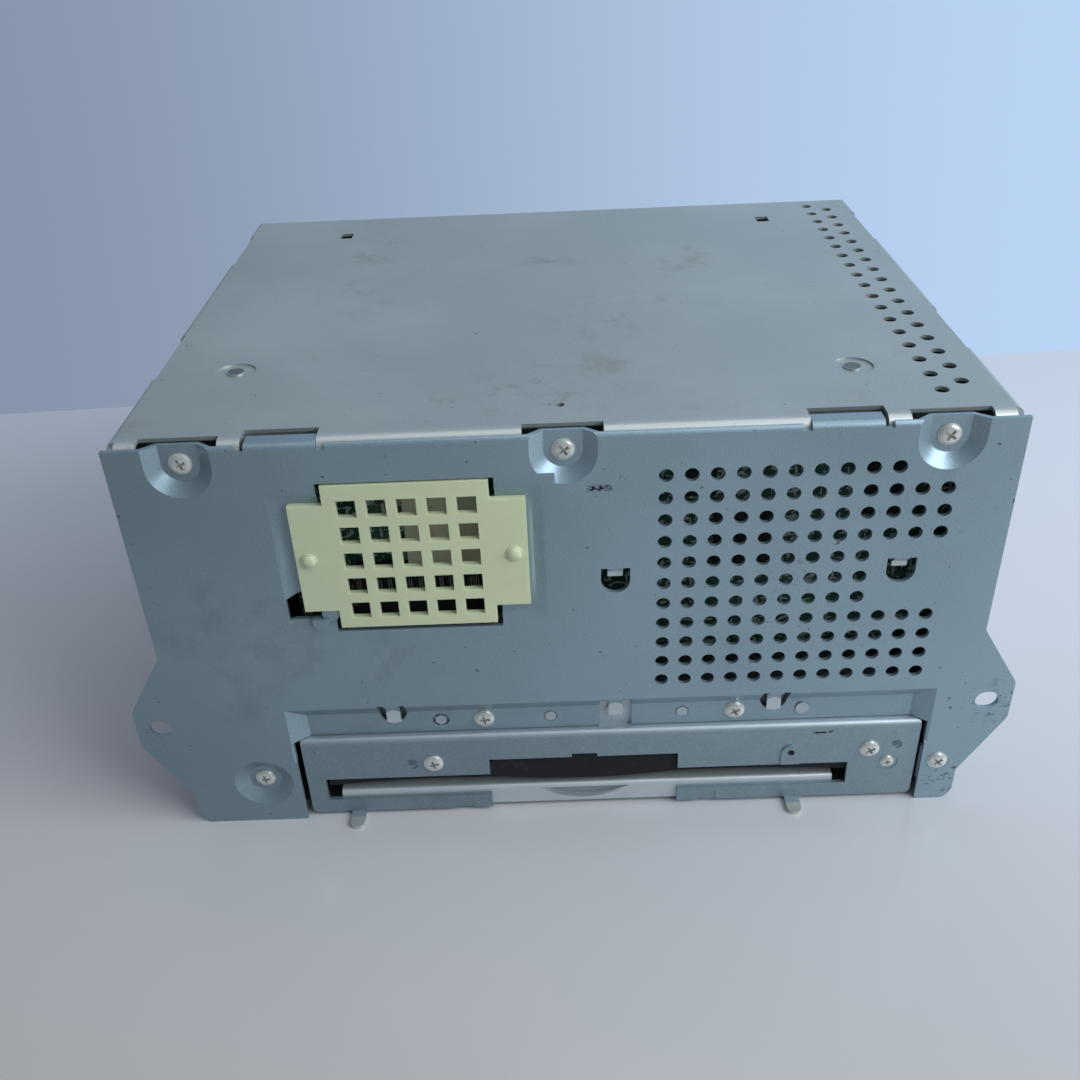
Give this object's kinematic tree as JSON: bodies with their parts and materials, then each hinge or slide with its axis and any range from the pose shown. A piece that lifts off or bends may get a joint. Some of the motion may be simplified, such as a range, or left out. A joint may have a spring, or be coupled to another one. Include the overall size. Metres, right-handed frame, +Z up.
{
  "type": "slot-loading car disc player",
  "caption": "Sheet-metal car radio body with a slot-loading disc mechanism, air-hole front plate and a small grille",
  "frame": {"origin": "centre of the bounding box in plan, on the plane the unit stands on", "axes": "+Z up, -Y towards the front plate and its disc slot, +X to the right seen from the front"},
  "size_m": [0.1984, 0.168, 0.1016],
  "materials": {
    "plated_steel": "satin",
    "bright_plate": "satin",
    "zinc_screws": "bright",
    "motor_steel": "satin",
    "sink_aluminium": "matt",
    "ivory_plastic": "satin",
    "black_plastic": "satin",
    "white_plastic": "satin",
    "board_green": "satin",
    "component_black": "gloss",
    "soft_rubber": "matt",
    "lens_glass": "clear"
  },
  "bodies": {
    "chassis": {"amplifier_chip": "black_plastic", "antenna_socket": "bright_plate", "band_screws": "zinc_screws", "board_screws": "zinc_screws", "board_standoffs": "zinc_screws", "bracket_screws": "zinc_screws", "chassis_tray": "plated_steel", "choke_coil": "component_black", "clamp_hinge_pin": "zinc_screws", "cross_member": "plated_steel", "damper_pins": "zinc_screws", "dampers": "soft_rubber", "front_board": "board_green", "front_chips": "black_plastic", "front_connector": "black_plastic", "front_plate": "plated_steel", "front_screws": "zinc_screws", "guide_plate": "bright_plate", "guide_rods": "zinc_screws", "harness_socket": "black_plastic", "heat_sink": "sink_aluminium", "lever_pins": "zinc_screws", "loading_motor": "motor_steel", "main_board": "board_green", "main_capacitors": "component_black", "mech_board": "board_green", "mech_bracket": "plated_steel", "mech_frame": "plated_steel", "mech_screws": "zinc_screws", "motor_bracket": "plated_steel", "pivot_pins": "zinc_screws", "processor_chips": "black_plastic", "rear_panel": "plated_steel", "rear_screws": "zinc_screws", "shield_can": "bright_plate", "side_screws": "zinc_screws", "sled_motor": "motor_steel", "slot_guide": "black_plastic", "spindle_motor": "motor_steel", "top_cover": "plated_steel", "traverse_plate": "plated_steel", "tuner_module": "bright_plate", "vent_grille": "ivory_plastic"},
    "roller_arm": {"roller_arm": "plated_steel"},
    "roller": {"roller_shaft": "zinc_screws", "roller_rubber": "soft_rubber", "roller_gear": "white_plastic"},
    "idler": {"idler_gear": "white_plastic"},
    "worm": {"loading_worm": "white_plastic"},
    "turntable": {"turntable": "black_plastic"},
    "sled": {"pickup_body": "black_plastic", "pickup_lens": "lens_glass"},
    "lead_screw": {"lead_screw": "zinc_screws"},
    "clamp_arm": {"clamp_arm": "plated_steel"},
    "clamp_disc": {"clamp_disc": "black_plastic"},
    "cam_slider": {"cam_slider": "white_plastic"},
    "left_lever": {"left_lever": "plated_steel"},
    "right_lever": {"right_lever": "plated_steel"}
  },
  "joints": [
    {"name": "roller_arm_swing", "type": "hinge", "parent": "chassis", "child": "roller_arm", "pos_m": [0, -0.06, 0.014], "axis": [-1, 0, 0], "range_deg": [0, 24]},
    {"name": "roller_spin", "type": "hinge", "parent": "roller_arm", "child": "roller", "pos_m": [0, -0.07074, 0.0116], "axis": [1, 0, 0], "continuous": true},
    {"name": "idler_spin", "type": "hinge", "parent": "chassis", "child": "idler", "pos_m": [0.066, -0.06, 0.014], "axis": [1, 0, 0], "continuous": true},
    {"name": "worm_spin", "type": "hinge", "parent": "chassis", "child": "worm", "pos_m": [0.066, -0.06, 0.0246], "axis": [0, 1, 0], "continuous": true},
    {"name": "disc_spin", "type": "hinge", "parent": "chassis", "child": "turntable", "pos_m": [0.0028, -0.012, 0.0115], "axis": [0, 0, 1], "continuous": true},
    {"name": "sled_travel", "type": "slide", "parent": "chassis", "child": "sled", "axis": [1, 0, 0], "range_m": [0, 0.034]},
    {"name": "lead_screw_turn", "type": "hinge", "parent": "chassis", "child": "lead_screw", "pos_m": [0.04, 0.014, 0.0204], "axis": [1, 0, 0], "range_deg": [0, 4080]},
    {"name": "clamp_lift", "type": "hinge", "parent": "chassis", "child": "clamp_arm", "pos_m": [0, 0.048, 0.004], "axis": [-1, 0, 0], "range_deg": [0, 3.15]},
    {"name": "clamp_spin", "type": "hinge", "parent": "clamp_arm", "child": "clamp_disc", "pos_m": [0.0028, -0.012, 0.0045], "axis": [0, 0, 1], "continuous": true},
    {"name": "cam_travel", "type": "slide", "parent": "chassis", "child": "cam_slider", "axis": [0, 1, 0], "range_m": [0, 0.012]},
    {"name": "left_lever_swing", "type": "hinge", "parent": "chassis", "child": "left_lever", "pos_m": [-0.05, -0.038, 0.016], "axis": [0, 0, -1], "range_deg": [0, 25]},
    {"name": "right_lever_swing", "type": "hinge", "parent": "chassis", "child": "right_lever", "pos_m": [0.0556, -0.038, 0.016], "axis": [0, 0, 1], "range_deg": [0, 25]}
  ],
  "couplings": [
    {"joint": "idler_spin", "follows": "roller_spin", "ratio": -0.69231},
    {"joint": "worm_spin", "follows": "roller_spin", "ratio": 18},
    {"joint": "lead_screw_turn", "follows": "sled_travel", "rad_per_m": 2094.4},
    {"joint": "clamp_lift", "follows": "roller_arm_swing", "ratio": 0.13125},
    {"joint": "cam_travel", "follows": "roller_arm_swing", "m_per_rad": 0.028648},
    {"joint": "right_lever_swing", "follows": "left_lever_swing", "ratio": 1}
  ]
}
